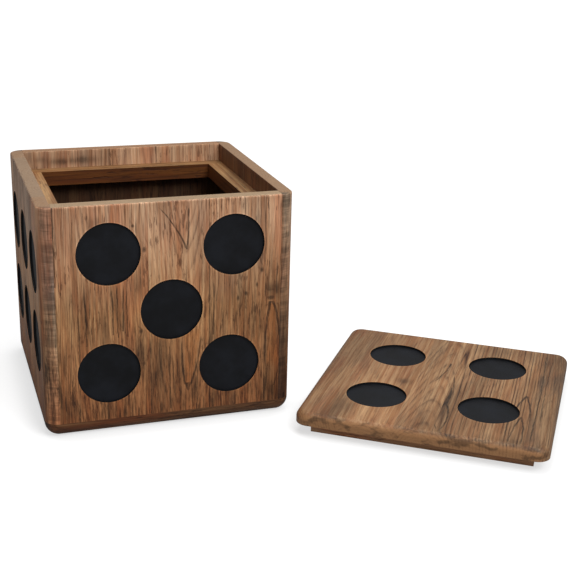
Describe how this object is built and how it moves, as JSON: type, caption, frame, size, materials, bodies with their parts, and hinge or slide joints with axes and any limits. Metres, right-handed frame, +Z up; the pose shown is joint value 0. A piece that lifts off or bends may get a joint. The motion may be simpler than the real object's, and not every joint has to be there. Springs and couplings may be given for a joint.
{
  "type": "die-shaped storage box with lid",
  "caption": "Wooden storage box shaped like a large die, with black inlaid pips, an inner ledge frame and a lift-off lid lying on the floor beside it.",
  "frame": {"origin": "middle of the box's underside, on the floor; the lid lies to the right of it", "axes": "+Z up, +Y to the back of the box, +X to its right, towards the lid"},
  "size_m": [0.9242, 0.7102, 0.374],
  "materials": {
    "wall_wood": "stained and waxed, satin",
    "base_wood": "dark stained, satin",
    "ledge_wood": "stained, satin",
    "lid_wood": "stained and waxed, satin",
    "lid_frame_wood": "stained, satin",
    "pip_black": "matt black paint"
  },
  "bodies": {
    "box": {"base_plank_1": "base_wood", "base_plank_2": "base_wood", "base_plank_3": "base_wood", "base_plank_4": "base_wood", "base_plank_5": "base_wood", "front_stave_1": "wall_wood", "front_stave_2": "wall_wood", "front_stave_3": "wall_wood", "front_stave_4": "wall_wood", "front_stave_5": "wall_wood", "front_stave_6": "wall_wood", "back_stave_1": "wall_wood", "back_stave_2": "wall_wood", "back_stave_3": "wall_wood", "back_stave_4": "wall_wood", "back_stave_5": "wall_wood", "left_stave_1": "wall_wood", "left_stave_2": "wall_wood", "left_stave_3": "wall_wood", "left_stave_4": "wall_wood", "left_stave_5": "wall_wood", "left_stave_6": "wall_wood", "right_stave_1": "wall_wood", "right_stave_2": "wall_wood", "right_stave_3": "wall_wood", "right_stave_4": "wall_wood", "right_stave_5": "wall_wood", "right_stave_6": "wall_wood", "ledge_batten_front": "ledge_wood", "ledge_batten_back": "ledge_wood", "ledge_batten_left": "ledge_wood", "ledge_batten_right": "ledge_wood", "pips_front": "pip_black", "pips_back": "pip_black", "pips_left": "pip_black", "pips_right": "pip_black"},
    "lid": {"lid_plank_1": "lid_wood", "lid_plank_2": "lid_wood", "lid_plank_3": "lid_wood", "lid_plank_4": "lid_wood", "lid_plank_5": "lid_wood", "lid_batten_front": "lid_frame_wood", "lid_batten_back": "lid_frame_wood", "lid_batten_left": "lid_frame_wood", "lid_batten_right": "lid_frame_wood", "pips_lid": "pip_black"}
  },
  "joints": [
    {"name": "lid_lift", "type": "slide", "parent": "box", "child": "lid", "axis": [0, 0, 1], "range_m": [0, 0.42]}
  ]
}
